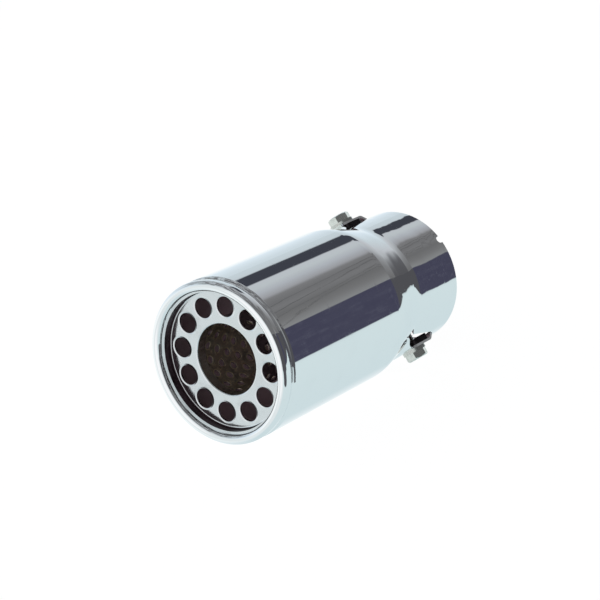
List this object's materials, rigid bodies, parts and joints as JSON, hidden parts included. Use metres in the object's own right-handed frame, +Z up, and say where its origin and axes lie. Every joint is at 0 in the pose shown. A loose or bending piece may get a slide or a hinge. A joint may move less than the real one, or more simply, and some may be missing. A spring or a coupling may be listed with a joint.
{
  "type": "exhaust tip",
  "caption": "Clamp-on exhaust tip: polished round shell with a rolled lip, a recessed plate ringed with holes, a perforated inner tube and clamp bolts on a narrower inlet collar.",
  "frame": {"origin": "centre of the inlet mouth, on the axis", "axes": "+Y along the axis, out of the inlet towards the tail pipe, so the outlet faces -Y; +Z up as fitted to a car, +X to the right seen from behind the car"},
  "size_m": [0.076, 0.1469, 0.076],
  "materials": {
    "polished_shell": "mirror polished",
    "polished_plate": "polished, slightly soft",
    "plain_steel": "dull mill finish, browned",
    "zinc_hardware": "zinc plated",
    "black_steel": "black oxide, dull"
  },
  "bodies": {
    "tip": {"outer_shell": "polished_shell", "front_plate": "polished_plate", "perforated_tube": "plain_steel", "upper_washer": "zinc_hardware", "upper_nut_plate": "black_steel", "lower_washer": "zinc_hardware", "lower_nut_plate": "black_steel"},
    "upper_clamp_bolt": {"upper_bolt": "zinc_hardware"},
    "lower_clamp_bolt": {"lower_bolt": "zinc_hardware"}
  },
  "joints": [
    {"name": "upper_bolt_travel", "type": "slide", "parent": "tip", "child": "upper_clamp_bolt", "axis": [-0.6129, 0, 0.7902], "range_m": [0, 0.008]},
    {"name": "lower_bolt_travel", "type": "slide", "parent": "tip", "child": "lower_clamp_bolt", "axis": [0.6129, 0, -0.7902], "range_m": [0, 0.008]}
  ]
}
